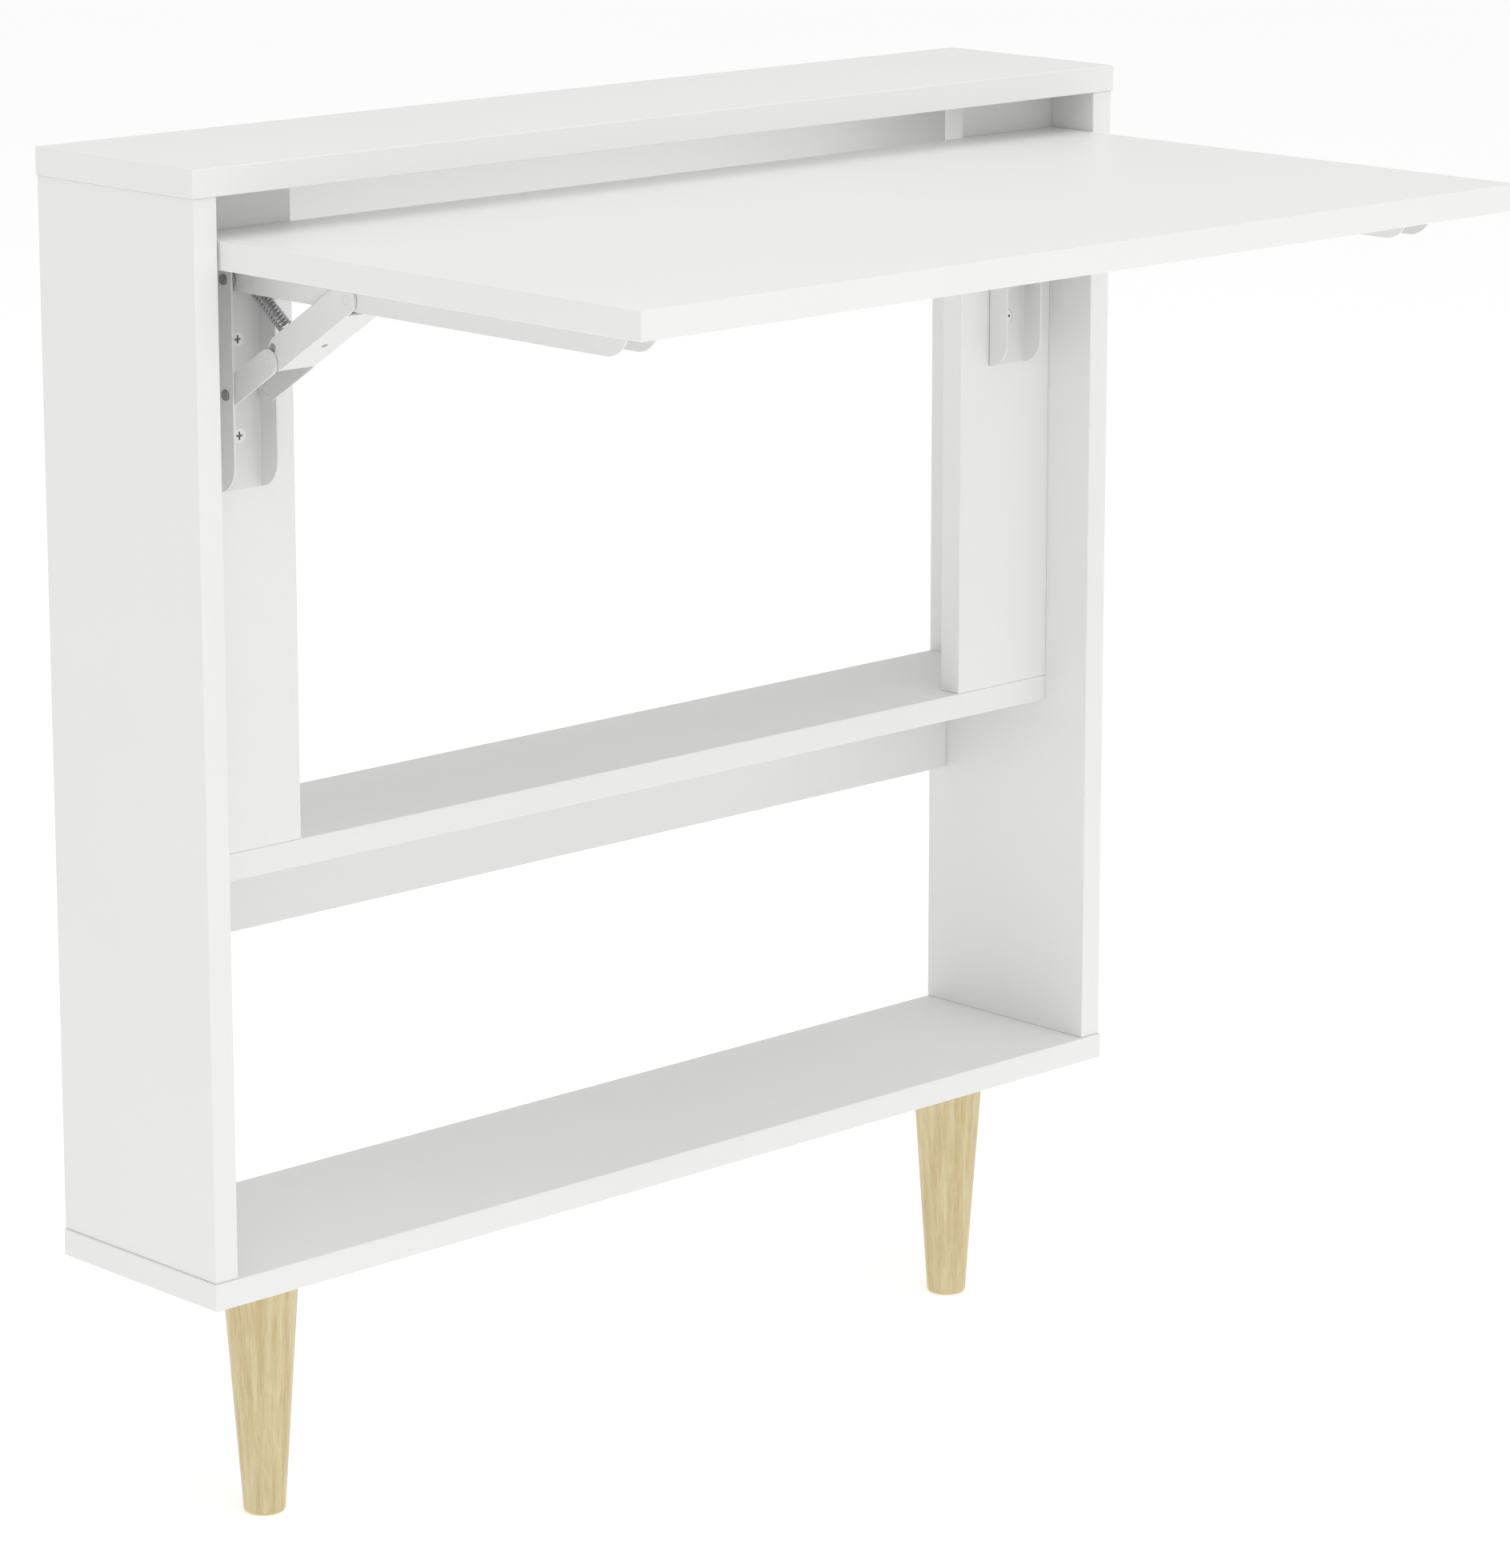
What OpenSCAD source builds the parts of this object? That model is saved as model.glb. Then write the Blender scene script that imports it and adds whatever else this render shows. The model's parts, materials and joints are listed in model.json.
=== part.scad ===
// Wall-fixed secretary desk with a drop-down writing flap on two folding brackets.
// Millimetres. X runs to the right, Y runs back to the wall and Z runs up.
// The origin lies on the rear face, midway between the two wall-fixing holes.

/* [Carcass] */
// Width over the top and bottom boards
desk_w = 730; // [620:1:900]
// Depth from the front edge of the top board to the wall
desk_d = 141; // [130:1:200]
// Height of the case without its legs
case_h = 646; // [560:1:800]
// Thickness of every board
board_t = 16; // [15:0.5:19]
// Overhang of the top and bottom boards past the side panels
edge_lip = 1; // [0:0.5:4]

/* [Front frame] */
// Setback of the stiles and shelf from the front of the top board
recess = 36.7; // [36:0.1:45]
// Width of each stile
stile_w = 80; // [60:1:100]
// Height of the shelf's top face above the underside of the case
shelf_top = 251.2; // [215:0.1:280]
// Height of the two back rails
rail_h = 60; // [50:1:90]

/* [Flap] */
// Depth of the flap from its rear edge to its front edge
flap_d = 372.9; // [320:0.1:420]
// Open slot between the flap and the top board
flap_slot = 24.5; // [20:0.5:60]
// Gap between the flap and each side panel
flap_side_gap = 1.35; // [0.8:0.05:4]
// Gap between the flap's rear edge and the stiles
flap_back_gap = 0.4; // [0.3:0.1:1]

/* [Legs] */
// Height from the floor to the underside of the case
leg_h = 155; // [100:1:250]
// Diameter at the top of a leg
leg_top_d = 45.8; // [36:0.1:52]
// Diameter at the foot of a leg
leg_foot_d = 24.8; // [20:0.1:36]
// Rounding of a leg's foot
leg_foot_round = 2.5; // [1:0.5:4]
// Distance from the end of the case to a leg's axis
leg_inset = 80; // [40:1:140]
// Distance from the front of the case to a leg's axis
leg_setback = 60.5; // [40:0.5:80]

/* [Brackets] */
// Outer width of the wall plate's channel
plate_w = 31.5; // [29:0.5:40]
// Depth of the wall plate's channel
plate_d = 16; // [15:0.5:16.5]
// Length of the wall plate below the arm's hinge
plate_drop = 120.4; // [100:0.2:140]
// Thickness of the pressed steel sheet
sheet_t = 1.2; // [1:0.1:1.5]
// Distance of the arm's hinge in front of the stile
hinge_out = 9.6; // [9.2:0.1:10]
// Distance of the arm's hinge below the flap
hinge_drop = 10.1; // [9.8:0.1:11]
// Distance of the straps' pivot below the arm's hinge
strap_pivot_drop = 64.4; // [60:0.2:70]
// Distance of the brace's upper pivot in front of the arm's hinge
link_pivot_out = 101.1; // [96:0.1:108]
// Drop of the brace's upper pivot below the arm's hinge
link_pivot_drop = 0.5; // [0:0.1:1]
// Length of the arm in front of its hinge
arm_reach = 324; // [240:1:330]
// Diameter of the hinge pins
pin_d = 6; // [5:0.5:7]
// Diameter of the smaller rivets
rivet_d = 5; // [4:0.5:5.5]
// Outer diameter of the extension spring
spring_d = 8.8; // [6:0.2:9.6]
// Diameter of the spring's wire
spring_wire = 1.4; // [1:0.1:1.6]

/* [Fixings] */
// Diameter of a wooden dowel
dowel_d = 8; // [6:1:8]
// Length of a wooden dowel
dowel_l = 30; // [25:1:35]
// Distance between the two wall-fixing holes
wall_pitch = 500; // [300:10:600]
// Height of the wall-fixing holes above the rail's lower edge
wall_hole_rise = 13; // [10:1:30]
// Diameter of a wall-fixing hole
wall_hole_d = 5.5; // [4:0.5:7]

/* [Hidden] */

$fn = 48;
round_fn = 96;
LEFT = -1;
RIGHT = 1;
BOTH = [LEFT, RIGHT];

// Clearances
fit = 0.05;        // radial play of a dowel, pin or shank in its hole
slip = 0.3;        // gap between sheet parts that nest in each other
flap_slip = 0.4;   // gap between the folded flap and the brace
cut = 1;           // how far a cutting tool runs past a face
sliver = 0.01;     // overlap that lets two cuts meet without a skin
hole_spare = 0.5;  // how much deeper a blind hole is than its screw

// Levels of the case above its own underside
side_x = desk_w / 2 - edge_lip - board_t;   // inner face of a side panel
side_front = -desk_d + edge_lip;            // front edge of a side panel
face_y = -desk_d + recess;                  // front face of the stiles and shelf
top_under = case_h - board_t;               // underside of the top board
shelf_under = shelf_top - board_t;
upper_rail_low = top_under - rail_h;
lower_rail_low = shelf_under - rail_h;
wall_hole_z = upper_rail_low + wall_hole_rise;  // height of the origin above the case's underside
flap_top = top_under - flap_slot;
flap_under = flap_top - board_t;
flap_w = 2 * (side_x - flap_side_gap);
flap_back = face_y - flap_back_gap;

// Bracket pivots in the plane of the fold, as [y, z]
bracket_x = side_x - stile_w / 2;
hinge = [face_y - hinge_out, flap_under - hinge_drop];
strap_pivot = [hinge[0], hinge[1] - strap_pivot_drop];
link_pivot = [hinge[0] - link_pivot_out, hinge[1] - link_pivot_drop];
folded_link_pivot = [hinge[0] + link_pivot_drop, hinge[1] - link_pivot_out];
open_span = norm(link_pivot - strap_pivot);
folded_span = norm(folded_link_pivot - strap_pivot);
strap_l = (open_span - folded_span) / 2;    // the brace lies straight open and folds flat
brace_angle = atan2(link_pivot[1] - strap_pivot[1], link_pivot[0] - strap_pivot[0]);

// Nested channels, from the wall plate inwards
strap_out = plate_w / 2 - sheet_t - slip;
link_out = strap_out - sheet_t - slip;
arm_out = link_out - sheet_t - slip;
link_web = hinge_out - link_pivot_drop - sheet_t - slip;
link_rim = hinge_drop + link_pivot_drop - flap_slip;
arm_h = hinge_drop + hinge_out - 2 * (sheet_t + slip);
bend_r = 0.8;                // inside radius of a pressed bend
plate_top_r = hinge_drop - slip;
knee_r = 6;                  // upper link's radius at the knee
web_stop = 4.5;              // how far the upper link's web stops short of the knee
lug_t = 1.6;                 // spring lug on the upper link
lug_r = 3;
lug_back = 12;               // spring lug's distance from the knee
lug_rise = 5.5;
spring_rivet_back = 7.2;     // visible rivets' distance from the knee
spring_rivet_rise = 5.4;
web_hole_d = 4;              // round hole in the upper link's web
web_hole_back = 44.6;        // its distance from the link's pivot
link_ramp = 9;               // taper at each end of the upper link's rim
pin_head = 1.2;              // how far a pin stands out of the wall plate
hook_r = 2.8;                // spring's end hook
spring_lead = 3.5;           // straight wire before the coils
spring_tail = 1.5;           // straight wire after the coils
plate_screw_drops = [36, 90.2];
arm_screw_reach = [130, 190, 245];

// Fixings
screw_d = 4;
screw_head_d = 9;
screw_head_h = (screw_head_d - screw_d) / 2;
screw_l = 14;
recess_w = 1.1;              // width of a slot of the cross recess
recess_l = 4.6;
recess_depth = 1.2;
arm_screw_d = 3.5;
arm_screw_l = 11;
arm_head_d = 8;
arm_head_h = 1.6;
arm_recess_depth = 1;
washer_d = 11;
dowel_hole_in_face = 11;     // depth of a dowel hole in a board's face
dowel_hole_in_end = 21;      // depth of a dowel hole in a board's end
dowel_from_wall = 24;
corner_dowel_inset = 26;     // front corner dowel's distance from the front of the top board
shelf_dowel_inset = 28;      // front shelf dowel's distance from the front of the shelf
rail_dowel_inset = 14;       // rail dowels' distance from the rail's edges
stile_dowel_low = 50;        // lower stile dowel's height above the shelf
stile_dowel_high = 60;       // upper stile dowel's distance below the top board
corner_dowel_y = [-dowel_from_wall, -desk_d + corner_dowel_inset];
rail_dowel_rise = rail_h / 2 - rail_dowel_inset;
shelf_dowel_y = [-dowel_from_wall, face_y + shelf_dowel_inset];
stile_dowel_z = [shelf_top + stile_dowel_low, top_under - stile_dowel_high];
stile_mid_y = face_y + board_t / 2;

// Leg hardware
leg_plate_w = 54;
leg_plate_t = 2.5;
leg_plate_r = 6;
leg_boss_d = 13;
leg_boss_h = 9;
leg_boss_gap = 0.5;          // clearance round a leg's boss in the bottom board
leg_screw_edge = 7;          // leg plate screws' distance from the plate's edge
hanger_d = 8;
hanger_up = 8;
hanger_down = 32;
leg_screw_at = leg_plate_w / 2 - leg_screw_edge;
leg_screw_l = 13;
leg_x = desk_w / 2 - leg_inset;
leg_y = -desk_d + leg_setback;

// Colours
white = [0.93, 0.93, 0.93];
bracket_white = [0.90, 0.90, 0.90];
steel = [0.72, 0.73, 0.75];
dark_steel = [0.16, 0.16, 0.17];
beech = [0.80, 0.66, 0.42];

// ---------- helpers ----------

// Moves the case so that the wall-fixing holes lie at Z = 0
module on_wall() {
    translate([0, 0, -wall_hole_z]) children();
}

// A box given by its lowest and highest corners
module block(low, high) {
    translate(low) cube(high - low);
}

// A rod from a start point along +X, +Y or +Z, or the reverse with a negative length
module rod_x(at, d, l) {
    translate(at) rotate([0, l < 0 ? -90 : 90, 0]) cylinder(d = d, h = abs(l));
}

module rod_z(at, d, l) {
    translate(at + [0, 0, min(l, 0)]) cylinder(d = d, h = abs(l));
}

// A square-edged board given by its lowest and highest corners
module board(low, high) {
    color(white) block(low, high);
}

// Turns a shape drawn as [y, z] into a slab between two X values
module slab(x0, x1) {
    translate([x0, 0, 0]) rotate([90, 0, 90]) linear_extrude(x1 - x0) children();
}

// Places a shape drawn along the brace, from the straps' pivot towards the link's pivot
module along_brace() {
    translate(strap_pivot) rotate(brace_angle) children();
}

// U section of a pressed channel: web on the X axis, flanges upwards
module u_section(w, h) {
    outer_r = sheet_t + bend_r;
    difference() {
        union() {
            translate([-w / 2, outer_r]) square([w, h - outer_r]);
            translate([-w / 2 + outer_r, 0]) square([w - 2 * outer_r, outer_r]);
            for (s = BOTH) translate([s * (w / 2 - outer_r), outer_r]) circle(r = outer_r);
        }
        union() {
            translate([-w / 2 + sheet_t, outer_r]) square([w - 2 * sheet_t, h]);
            translate([-w / 2 + outer_r, sheet_t]) square([w - 2 * outer_r, h]);
            for (s = BOTH) translate([s * (w / 2 - outer_r), outer_r]) circle(r = bend_r);
        }
    }
}

// Pin across a bracket at a pivot given as [y, z]
module cross_pin(pivot, d, half) {
    rod_x([-half, pivot[0], pivot[1]], d, 2 * half);
}

// Two short rivets, one in each side of a channel
module side_rivets(pivot, d, from, to) {
    for (s = BOTH) rod_x([s * from, pivot[0], pivot[1]], d, s * (to - from));
}

// Countersunk screw along +Y with its head flush at y = 0
module wall_screw() {
    difference() {
        union() {
            rotate([-90, 0, 0]) cylinder(d1 = screw_head_d - 2 * fit, d2 = screw_d, h = screw_head_h);
            rotate([-90, 0, 0]) cylinder(d = screw_d, h = screw_l);
        }
        for (a = [0, 90]) rotate([0, a, 0])
            block([-recess_l / 2, -cut, -recess_w / 2], [recess_l / 2, recess_depth, recess_w / 2]);
    }
}

module wall_screw_hole() {
    rotate([-90, 0, 0]) cylinder(d1 = screw_head_d, d2 = screw_d + 2 * fit, h = screw_head_h);
    rotate([-90, 0, 0]) cylinder(d = screw_d + 2 * fit, h = screw_l + hole_spare);
    translate([0, -cut, 0]) rotate([-90, 0, 0]) cylinder(d = screw_head_d, h = cut + sliver);
}

module at_plate_screws() {
    for (drop = plate_screw_drops)
        translate([0, face_y - sheet_t, hinge[1] - drop]) children();
}

module at_arm_screws() {
    for (reach = arm_screw_reach)
        translate([0, hinge[0] - reach, flap_under]) children();
}

// ---------- fixings of the case ----------

// Dowels, or their holes when grown by the fit
module corner_dowel_set(grow = 0) {
    for (s = BOTH, y = corner_dowel_y, top = [0, 1]) {
        joint_z = top ? top_under : board_t;
        into_board = top ? 1 : -1;
        face = grow ? dowel_hole_in_face : dowel_hole_in_face - 1;
        rest = grow ? dowel_hole_in_end : dowel_l - face;
        rod_z([s * (side_x + board_t / 2), y, joint_z], dowel_d + 2 * grow, into_board * face);
        rod_z([s * (side_x + board_t / 2), y, joint_z], dowel_d + 2 * grow, -into_board * rest);
    }
}

// Dowels lying along X through the inner face of a side panel
module side_dowel_set(points, grow = 0) {
    face = grow ? dowel_hole_in_face : dowel_hole_in_face - 1;
    rest = grow ? dowel_hole_in_end : dowel_l - face;
    for (s = BOTH, p = points) {
        rod_x([s * side_x, p[0], p[1]], dowel_d + 2 * grow, s * face);
        rod_x([s * side_x, p[0], p[1]], dowel_d + 2 * grow, -s * rest);
    }
}

shelf_dowel_points = [for (y = shelf_dowel_y) [y, shelf_top - board_t / 2]];
rail_dowel_points = [for (z = [upper_rail_low, lower_rail_low], d = BOTH)
    [-board_t / 2, z + rail_h / 2 + d * rail_dowel_rise]];
stile_dowel_points = [for (z = stile_dowel_z) [stile_mid_y, z]];

module corner_dowels() color(beech) corner_dowel_set();

module shelf_dowels() color(beech) side_dowel_set(shelf_dowel_points);

module rail_dowels() color(beech) side_dowel_set(rail_dowel_points);

module stile_dowels() color(beech) side_dowel_set(stile_dowel_points);

// ---------- boards ----------

module top_board() {
    difference() {
        board([-desk_w / 2, -desk_d, top_under], [desk_w / 2, 0, case_h]);
        corner_dowel_set(fit);
    }
}

module bottom_board() {
    difference() {
        board([-desk_w / 2, -desk_d, 0], [desk_w / 2, 0, board_t]);
        corner_dowel_set(fit);
        for (s = BOTH) {
            rod_z([s * leg_x, leg_y, -cut], leg_boss_d + 2 * leg_boss_gap,
                cut + leg_boss_h + 2 * leg_boss_gap);
            leg_screw_holes(s);
        }
    }
}

module side_panel(s) {
    x0 = s * (side_x + board_t / 2) - board_t / 2;
    difference() {
        board([x0, side_front, board_t], [x0 + board_t, 0, top_under]);
        corner_dowel_set(fit);
        side_dowel_set(concat(shelf_dowel_points, rail_dowel_points, stile_dowel_points), fit);
    }
}

module stile(s) {
    x0 = s * bracket_x - stile_w / 2;
    difference() {
        board([x0, face_y, shelf_top], [x0 + stile_w, face_y + board_t, top_under]);
        side_dowel_set(stile_dowel_points, fit);
        translate([s * bracket_x, 0, 0]) at_plate_screws() wall_screw_hole();
    }
}

module middle_shelf() {
    difference() {
        board([-side_x, face_y, shelf_under], [side_x, 0, shelf_top]);
        side_dowel_set(shelf_dowel_points, fit);
    }
}

module back_rail(low) {
    difference() {
        board([-side_x, -board_t, low], [side_x, 0, low + rail_h]);
        side_dowel_set(rail_dowel_points, fit);
    }
}

module upper_back_rail() {
    difference() {
        back_rail(upper_rail_low);
        for (s = BOTH) translate([s * wall_pitch / 2, cut, wall_hole_z])
            rotate([90, 0, 0]) cylinder(d = wall_hole_d, h = board_t + 2 * cut);
    }
}

module lower_back_rail() back_rail(lower_rail_low);

module flap() {
    difference() {
        board([-flap_w / 2, flap_back - flap_d, flap_under], [flap_w / 2, flap_back, flap_top]);
        for (s = BOTH) translate([s * bracket_x, 0, 0]) at_arm_screws()
            rod_z([0, 0, -cut], arm_screw_d + 2 * fit, cut + arm_screw_l + hole_spare);
    }
}

// ---------- legs ----------

module at_leg_screws(s) {
    for (dx = BOTH, dy = BOTH)
        translate([s * leg_x + dx * leg_screw_at, leg_y + dy * leg_screw_at, 0]) children();
}

module leg_screw_holes(s) {
    at_leg_screws(s) rod_z([0, 0, -cut], arm_screw_d + 2 * fit, 
        cut + leg_screw_l - leg_plate_t + hole_spare);
}

// Half outline of a leg: rounded foot and straight taper up to the plate
module leg_profile() {
    foot_r = leg_foot_d / 2;
    height = leg_h - leg_plate_t;
    polygon([[0, 0], [foot_r - leg_foot_round, 0], [foot_r, leg_foot_round],
        [leg_top_d / 2, height], [0, height]]);
    translate([foot_r - leg_foot_round, leg_foot_round]) circle(r = leg_foot_round);
}

module leg(s) {
    color(beech) difference() {
        translate([s * leg_x, leg_y, -leg_h]) rotate_extrude($fn = round_fn) leg_profile();
        rod_z([s * leg_x, leg_y, 0], hanger_d + 2 * fit, -leg_plate_t - hanger_down - hole_spare);
    }
}

module leg_plate(s) {
    color(steel) difference() {
        union() {
            translate([s * leg_x, leg_y, -leg_plate_t]) linear_extrude(leg_plate_t) plate_outline();
            rod_z([s * leg_x, leg_y, -leg_plate_t], leg_boss_d, leg_plate_t + leg_boss_h);
        }
        rod_z([s * leg_x, leg_y, -leg_plate_t - cut], hanger_d + 2 * fit, leg_h);
        at_leg_screws(s) {
            rod_z([0, 0, -leg_plate_t - cut], arm_screw_d + 2 * fit, leg_plate_t + 2 * cut);
            translate([0, 0, -leg_plate_t])
                cylinder(d1 = 2 * arm_screw_d + 2 * fit, d2 = arm_screw_d + 2 * fit,
                    h = arm_screw_d / 2);
        }
    }
}

module plate_outline() {
    inner = leg_plate_w - 2 * leg_plate_r;
    square([leg_plate_w, inner], center = true);
    square([inner, leg_plate_w], center = true);
    for (dx = BOTH, dy = BOTH) translate([dx * inner / 2, dy * inner / 2]) circle(r = leg_plate_r);
}

module hanger_bolts() {
    color(steel) for (s = BOTH)
        rod_z([s * leg_x, leg_y, hanger_up - leg_plate_t], hanger_d, -hanger_up - hanger_down);
}

module leg_plate_screws() {
    color(steel) for (s = BOTH) at_leg_screws(s) {
        rod_z([0, 0, -leg_plate_t], arm_screw_d, leg_screw_l);
        translate([0, 0, -leg_plate_t]) cylinder(d1 = 2 * arm_screw_d, d2 = arm_screw_d,
            h = arm_screw_d / 2);
    }
}

// ---------- folding brackets ----------

module wall_plate() {
    depth_front = face_y - plate_d;
    foot_z = hinge[1] - plate_drop;
    top_z = hinge[1] + plate_top_r;
    color(bracket_white) difference() {
        intersection() {
            translate([0, face_y, foot_z]) mirror([0, 1, 0])
                linear_extrude(top_z - foot_z) u_section(plate_w, plate_d);
            slab(-plate_w, plate_w) intersection() {
                translate([depth_front, foot_z]) square([plate_d, top_z - foot_z]);
                union() {
                    translate([face_y, foot_z + plate_d]) circle(r = plate_d);
                    translate([depth_front, foot_z + plate_d])
                        square([plate_d, hinge[1] - foot_z - plate_d]);
                    translate(hinge) circle(r = plate_top_r);
                    translate(hinge) square([plate_d, plate_top_r]);
                }
            }
        }
        cross_pin(hinge, pin_d + 2 * fit, plate_w);
        cross_pin(strap_pivot, pin_d + 2 * fit, plate_w);
        at_plate_screws() wall_screw_hole();
    }
}

module arm() {
    tail = arm_h - hinge_drop;
    color(bracket_white) difference() {
        intersection() {
            translate([0, hinge[0] - arm_reach, flap_under]) rotate([-90, 0, 0])
                linear_extrude(arm_reach + tail) u_section(2 * arm_out, arm_h);
            slab(-plate_w, plate_w) union() {
                translate(hinge) circle(r = tail);
                translate(hinge) square([tail, hinge_drop]);
                translate([hinge[0] - arm_reach + arm_h, flap_under - arm_h])
                    square([arm_reach - arm_h, arm_h]);
                translate([hinge[0] - arm_reach + arm_h, flap_under])
                    circle(r = arm_h, $fn = round_fn);
            }
        }
        cross_pin(hinge, pin_d + 2 * fit, plate_w);
        cross_pin(link_pivot, rivet_d + 2 * fit, plate_w);
        at_arm_screws() rod_z([0, 0, -arm_h], arm_screw_d + 2 * fit, arm_h + cut);
    }
}

// Side outline of the upper link, drawn from the straps' pivot
module link_outline() {
    end = open_span;
    translate([end, 0]) circle(r = link_web);
    translate([strap_l, 0]) circle(r = knee_r);
    polygon([[strap_l, knee_r], [strap_l + web_stop, link_web], [end, link_web],
        [end, -link_web], [end - link_ramp, -link_rim], [strap_l + link_ramp, -link_rim],
        [strap_l, -knee_r]]);
}

module upper_link() {
    web_start = strap_l + web_stop;
    web_end = open_span - web_stop;
    lug_at = [strap_l + lug_back, -lug_rise];
    color(bracket_white) difference() {
        union() {
            difference() {
                slab(-link_out, link_out) along_brace() link_outline();
                slab(-link_out + sheet_t, link_out - sheet_t) along_brace()
                    translate([-cut, -2 * plate_w]) square([2 * open_span, 4 * plate_w]);
            }
            slab(-link_out, link_out) along_brace()
                translate([web_start, link_web - sheet_t]) square([web_end - web_start, sheet_t]);
            slab(-lug_t / 2, lug_t / 2) along_brace() {
                translate(lug_at) circle(r = lug_r);
                translate([lug_at[0] - lug_r, lug_at[1]])
                    square([2 * lug_r, link_web - sheet_t / 2 - lug_at[1]]);
            }
        }
        cross_pin(link_pivot, rivet_d + 2 * fit, plate_w);
        cross_pin(brace_point(strap_l, 0), rivet_d + 2 * fit, plate_w);
        cross_pin(brace_point(strap_l + spring_rivet_back, -spring_rivet_rise),
            rivet_d + 2 * fit, plate_w);
        cross_pin(brace_point(lug_at[0], lug_at[1]), 3 * spring_wire, lug_t);
        link_web_hole();
    }
}

// Round hole through the web, in line with the brace's middle
module link_web_hole() {
    at = brace_point(open_span - web_hole_back, link_web);
    translate([0, at[0], at[1]]) rotate([brace_angle, 0, 0])
        cylinder(d = web_hole_d, h = 4 * sheet_t, center = true);
}

// A point along the brace from the straps' pivot, as [y, z]
function brace_point(along, across) =
    strap_pivot + [along * cos(brace_angle) - across * sin(brace_angle),
        along * sin(brace_angle) + across * cos(brace_angle)];

module link_straps() {
    color(bracket_white) difference() {
        for (s = BOTH) translate([s * (strap_out - sheet_t / 2), 0, 0])
            slab(-sheet_t / 2, sheet_t / 2) along_brace() strap_outline();
        cross_pin(strap_pivot, pin_d + 2 * fit, plate_w);
        cross_pin(brace_point(strap_l, 0), rivet_d + 2 * fit, plate_w);
    }
}

module strap_outline() {
    circle(r = link_web);
    translate([strap_l, 0]) circle(r = link_web);
    translate([0, -link_web]) square([strap_l, 2 * link_web]);
}

module hinge_pin() {
    color(dark_steel) cross_pin(hinge, pin_d, plate_w / 2 + pin_head);
}

module hinge_washers() {
    color(steel) difference() {
        side_rivets(hinge, washer_d, arm_out + slip / 2, plate_w / 2 - sheet_t);
        cross_pin(hinge, pin_d + 2 * fit, plate_w);
    }
}

module strap_rivets() color(dark_steel)
    side_rivets(strap_pivot, pin_d, strap_out - sheet_t, plate_w / 2 + pin_head);

module link_pin() color(bracket_white) cross_pin(link_pivot, rivet_d, link_out);

module knee_rivets() color(bracket_white)
    side_rivets(brace_point(strap_l, 0), rivet_d, link_out - sheet_t, link_out);

module knee_heads() color(bracket_white)
    side_rivets(brace_point(strap_l, 0), rivet_d, strap_out - sheet_t, strap_out);

module spring_rivets() color(steel)
    side_rivets(brace_point(strap_l + spring_rivet_back, -spring_rivet_rise),
        rivet_d, link_out - sheet_t, link_out);

// Extension spring from the hinge pin to the lug on the upper link
module spring() {
    lug = brace_point(strap_l + lug_back, -lug_rise);
    run = norm(lug - hinge);
    slope = atan2(lug[1] - hinge[1], lug[0] - hinge[0]);
    eye_r = pin_d / 2 + spring_wire / 2 + 2 * fit;
    coil_from = eye_r + spring_lead;
    coil_to = run - 2 * hook_r - spring_tail;
    wire_r = spring_wire / 2;
    color(dark_steel) translate([0, hinge[0], hinge[1]]) rotate([slope, 0, 0]) {
        rotate([0, 90, 0]) rotate_extrude() translate([eye_r, 0]) circle(r = wire_r);
        translate([0, eye_r, 0]) rotate([-90, 0, 0])
            cylinder(r = wire_r, h = coil_from - eye_r + wire_r);
        translate([0, coil_from, 0]) rotate([-90, 0, 0]) difference() {
            cylinder(d = spring_d, h = coil_to - coil_from);
            translate([0, 0, spring_wire])
                cylinder(d = spring_d - 2 * spring_wire, h = coil_to - coil_from - 2 * spring_wire);
        }
        translate([0, coil_to - wire_r, 0]) rotate([-90, 0, 0])
            cylinder(r = wire_r, h = run - 2 * hook_r - coil_to + 2 * wire_r);
        translate([0, run - hook_r, 0]) rotate_extrude() translate([hook_r, 0]) circle(r = wire_r);
    }
}

module plate_screws() {
    color(white) for (s = BOTH) translate([s * bracket_x, 0, 0]) at_plate_screws() wall_screw();
}

module arm_screws() {
    color(steel) for (s = BOTH) translate([s * bracket_x, 0, 0]) at_arm_screws() difference() {
        union() {
            rod_z([0, 0, -sheet_t], arm_screw_d, sheet_t + arm_screw_l);
            rod_z([0, 0, -sheet_t], arm_head_d, -arm_head_h);
        }
        for (a = [0, 90]) rotate(a)
            block([-recess_l / 2, -recess_w / 2, -sheet_t - arm_head_h - cut],
                [recess_l / 2, recess_w / 2, -sheet_t - arm_head_h + arm_recess_depth]);
    }
}

module at_bracket(s) {
    on_wall() translate([s * bracket_x, 0, 0]) children();
}

// ---------- nodes ----------

on_wall() top_board();
on_wall() bottom_board();
on_wall() side_panel(LEFT);  // left_side_panel
on_wall() side_panel(RIGHT);  // right_side_panel
on_wall() stile(LEFT);  // left_stile
on_wall() stile(RIGHT);  // right_stile
on_wall() middle_shelf();
on_wall() upper_back_rail();
on_wall() lower_back_rail();
on_wall() corner_dowels();
on_wall() shelf_dowels();
on_wall() rail_dowels();
on_wall() stile_dowels();
on_wall() leg(LEFT);  // left_leg
on_wall() leg(RIGHT);  // right_leg
on_wall() leg_plate(LEFT);  // left_leg_plate
on_wall() leg_plate(RIGHT);  // right_leg_plate
on_wall() hanger_bolts();
on_wall() leg_plate_screws();
on_wall() flap();
on_wall() plate_screws();
on_wall() arm_screws();
at_bracket(LEFT) wall_plate();  // left_wall_plate
at_bracket(LEFT) arm();  // left_arm
at_bracket(LEFT) upper_link();  // left_upper_link
at_bracket(LEFT) link_straps();  // left_link_straps
at_bracket(LEFT) hinge_pin();  // left_hinge_pin
at_bracket(LEFT) hinge_washers();  // left_hinge_washers
at_bracket(LEFT) strap_rivets();  // left_strap_rivets
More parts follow.
